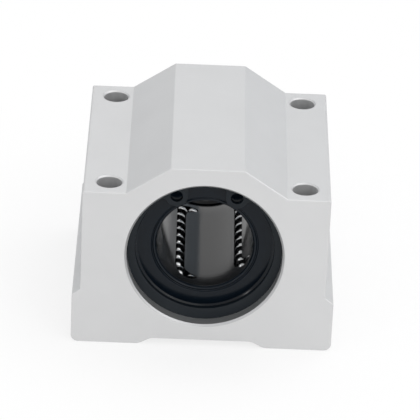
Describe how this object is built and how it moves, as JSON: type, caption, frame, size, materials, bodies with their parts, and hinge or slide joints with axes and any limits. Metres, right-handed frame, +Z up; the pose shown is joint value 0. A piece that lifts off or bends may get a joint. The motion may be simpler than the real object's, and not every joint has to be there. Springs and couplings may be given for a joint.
{
  "type": "linear bearing block",
  "caption": "Closed aluminium slide unit that carries a sealed recirculating ball bearing for a 20 mm round shaft and bolts down to a flat face.",
  "frame": {"origin": "middle of the base, on the plane that the feet stand on", "axes": "+Y along the shaft bore towards the back, +X across the block to the right seen from the front, +Z up"},
  "size_m": [0.054, 0.05, 0.041],
  "materials": {
    "anodised_aluminium": "satin",
    "bearing_steel": "satin",
    "black_resin": "gloss",
    "spring_steel": "satin",
    "black_rubber": "satin",
    "phosphated_steel": "satin",
    "ball_steel": "polished"
  },
  "bodies": {
    "slide_block": {"housing_block": "anodised_aluminium", "bearing_outer_cylinder": "bearing_steel", "ball_retainer": "black_resin", "front_snap_ring": "spring_steel", "rear_snap_ring": "spring_steel", "front_seal": "black_rubber", "rear_seal": "black_rubber", "front_circlip": "phosphated_steel", "rear_circlip": "phosphated_steel"},
    "circuit_1_loaded": {"circuit_1_loaded_balls": "ball_steel"},
    "circuit_1_return": {"circuit_1_return_balls": "ball_steel"},
    "circuit_1_front_turn": {"circuit_1_front_turn_balls": "ball_steel"},
    "circuit_1_rear_turn": {"circuit_1_rear_turn_balls": "ball_steel"},
    "circuit_2_loaded": {"circuit_2_loaded_balls": "ball_steel"},
    "circuit_2_return": {"circuit_2_return_balls": "ball_steel"},
    "circuit_2_front_turn": {"circuit_2_front_turn_balls": "ball_steel"},
    "circuit_2_rear_turn": {"circuit_2_rear_turn_balls": "ball_steel"},
    "circuit_3_loaded": {"circuit_3_loaded_balls": "ball_steel"},
    "circuit_3_return": {"circuit_3_return_balls": "ball_steel"},
    "circuit_3_front_turn": {"circuit_3_front_turn_balls": "ball_steel"},
    "circuit_3_rear_turn": {"circuit_3_rear_turn_balls": "ball_steel"},
    "circuit_4_loaded": {"circuit_4_loaded_balls": "ball_steel"},
    "circuit_4_return": {"circuit_4_return_balls": "ball_steel"},
    "circuit_4_front_turn": {"circuit_4_front_turn_balls": "ball_steel"},
    "circuit_4_rear_turn": {"circuit_4_rear_turn_balls": "ball_steel"},
    "circuit_5_loaded": {"circuit_5_loaded_balls": "ball_steel"},
    "circuit_5_return": {"circuit_5_return_balls": "ball_steel"},
    "circuit_5_front_turn": {"circuit_5_front_turn_balls": "ball_steel"},
    "circuit_5_rear_turn": {"circuit_5_rear_turn_balls": "ball_steel"}
  },
  "joints": [
    {"name": "circuit_1_loaded_run", "type": "slide", "parent": "slide_block", "child": "circuit_1_loaded", "axis": [0, 1, 0], "range_m": [-0.00167, 0.00167]},
    {"name": "circuit_1_return_run", "type": "slide", "parent": "slide_block", "child": "circuit_1_return", "axis": [0, 1, 0], "range_m": [-0.00167, 0.00167]},
    {"name": "circuit_1_front_turn_swing", "type": "hinge", "parent": "slide_block", "child": "circuit_1_front_turn", "pos_m": [0.00902, -0.01169, 0.02881], "axis": [0.8878, 0, 0.4602], "range_deg": [-30.01, 30.01]},
    {"name": "circuit_1_rear_turn_swing", "type": "hinge", "parent": "slide_block", "child": "circuit_1_rear_turn", "pos_m": [0.00902, 0.01169, 0.02881], "axis": [0.8878, 0, 0.4602], "range_deg": [-30.01, 30.01]},
    {"name": "circuit_2_loaded_run", "type": "slide", "parent": "slide_block", "child": "circuit_2_loaded", "axis": [0, 1, 0], "range_m": [-0.00167, 0.00167]},
    {"name": "circuit_2_return_run", "type": "slide", "parent": "slide_block", "child": "circuit_2_return", "axis": [0, 1, 0], "range_m": [-0.00167, 0.00167]},
    {"name": "circuit_2_front_turn_swing", "type": "hinge", "parent": "slide_block", "child": "circuit_2_front_turn", "pos_m": [-0.00464, -0.01169, 0.03199], "axis": [-0.1633, 0, 0.9866], "range_deg": [-30.01, 30.01]},
    {"name": "circuit_2_rear_turn_swing", "type": "hinge", "parent": "slide_block", "child": "circuit_2_rear_turn", "pos_m": [-0.00464, 0.01169, 0.03199], "axis": [-0.1633, 0, 0.9866], "range_deg": [-30.01, 30.01]},
    {"name": "circuit_3_loaded_run", "type": "slide", "parent": "slide_block", "child": "circuit_3_loaded", "axis": [0, 1, 0], "range_m": [-0.00167, 0.00167]},
    {"name": "circuit_3_return_run", "type": "slide", "parent": "slide_block", "child": "circuit_3_return", "axis": [0, 1, 0], "range_m": [-0.00167, 0.00167]},
    {"name": "circuit_3_front_turn_swing", "type": "hinge", "parent": "slide_block", "child": "circuit_3_front_turn", "pos_m": [-0.01189, -0.01169, 0.01998], "axis": [-0.9888, 0, 0.1495], "range_deg": [-30.01, 30.01]},
    {"name": "circuit_3_rear_turn_swing", "type": "hinge", "parent": "slide_block", "child": "circuit_3_rear_turn", "pos_m": [-0.01189, 0.01169, 0.01998], "axis": [-0.9888, 0, 0.1495], "range_deg": [-30.01, 30.01]},
    {"name": "circuit_4_loaded_run", "type": "slide", "parent": "slide_block", "child": "circuit_4_loaded", "axis": [0, 1, 0], "range_m": [-0.00167, 0.00167]},
    {"name": "circuit_4_return_run", "type": "slide", "parent": "slide_block", "child": "circuit_4_return", "axis": [0, 1, 0], "range_m": [-0.00167, 0.00167]},
    {"name": "circuit_4_front_turn_swing", "type": "hinge", "parent": "slide_block", "child": "circuit_4_front_turn", "pos_m": [-0.0027, -0.01169, 0.00938], "axis": [-0.4478, 0, -0.8942], "range_deg": [-30.01, 30.01]},
    {"name": "circuit_4_rear_turn_swing", "type": "hinge", "parent": "slide_block", "child": "circuit_4_rear_turn", "pos_m": [-0.0027, 0.01169, 0.00938], "axis": [-0.4478, 0, -0.8942], "range_deg": [-30.01, 30.01]},
    {"name": "circuit_5_loaded_run", "type": "slide", "parent": "slide_block", "child": "circuit_5_loaded", "axis": [0, 1, 0], "range_m": [-0.00167, 0.00167]},
    {"name": "circuit_5_return_run", "type": "slide", "parent": "slide_block", "child": "circuit_5_return", "axis": [0, 1, 0], "range_m": [-0.00167, 0.00167]},
    {"name": "circuit_5_front_turn_swing", "type": "hinge", "parent": "slide_block", "child": "circuit_5_front_turn", "pos_m": [0.01022, -0.01169, 0.01484], "axis": [0.712, 0, -0.7022], "range_deg": [-30.01, 30.01]},
    {"name": "circuit_5_rear_turn_swing", "type": "hinge", "parent": "slide_block", "child": "circuit_5_rear_turn", "pos_m": [0.01022, 0.01169, 0.01484], "axis": [0.712, 0, -0.7022], "range_deg": [-30.01, 30.01]}
  ],
  "couplings": [
    {"joint": "circuit_1_return_run", "follows": "circuit_1_loaded_run", "ratio": -1},
    {"joint": "circuit_1_front_turn_swing", "follows": "circuit_1_loaded_run", "rad_per_m": 313.53},
    {"joint": "circuit_1_rear_turn_swing", "follows": "circuit_1_loaded_run", "rad_per_m": 313.53},
    {"joint": "circuit_2_return_run", "follows": "circuit_2_loaded_run", "ratio": -1},
    {"joint": "circuit_2_front_turn_swing", "follows": "circuit_2_loaded_run", "rad_per_m": 313.53},
    {"joint": "circuit_2_rear_turn_swing", "follows": "circuit_2_loaded_run", "rad_per_m": 313.53},
    {"joint": "circuit_3_return_run", "follows": "circuit_3_loaded_run", "ratio": -1},
    {"joint": "circuit_3_front_turn_swing", "follows": "circuit_3_loaded_run", "rad_per_m": 313.53},
    {"joint": "circuit_3_rear_turn_swing", "follows": "circuit_3_loaded_run", "rad_per_m": 313.53},
    {"joint": "circuit_4_return_run", "follows": "circuit_4_loaded_run", "ratio": -1},
    {"joint": "circuit_4_front_turn_swing", "follows": "circuit_4_loaded_run", "rad_per_m": 313.53},
    {"joint": "circuit_4_rear_turn_swing", "follows": "circuit_4_loaded_run", "rad_per_m": 313.53},
    {"joint": "circuit_5_return_run", "follows": "circuit_5_loaded_run", "ratio": -1},
    {"joint": "circuit_5_front_turn_swing", "follows": "circuit_5_loaded_run", "rad_per_m": 313.53},
    {"joint": "circuit_5_rear_turn_swing", "follows": "circuit_5_loaded_run", "rad_per_m": 313.53}
  ]
}
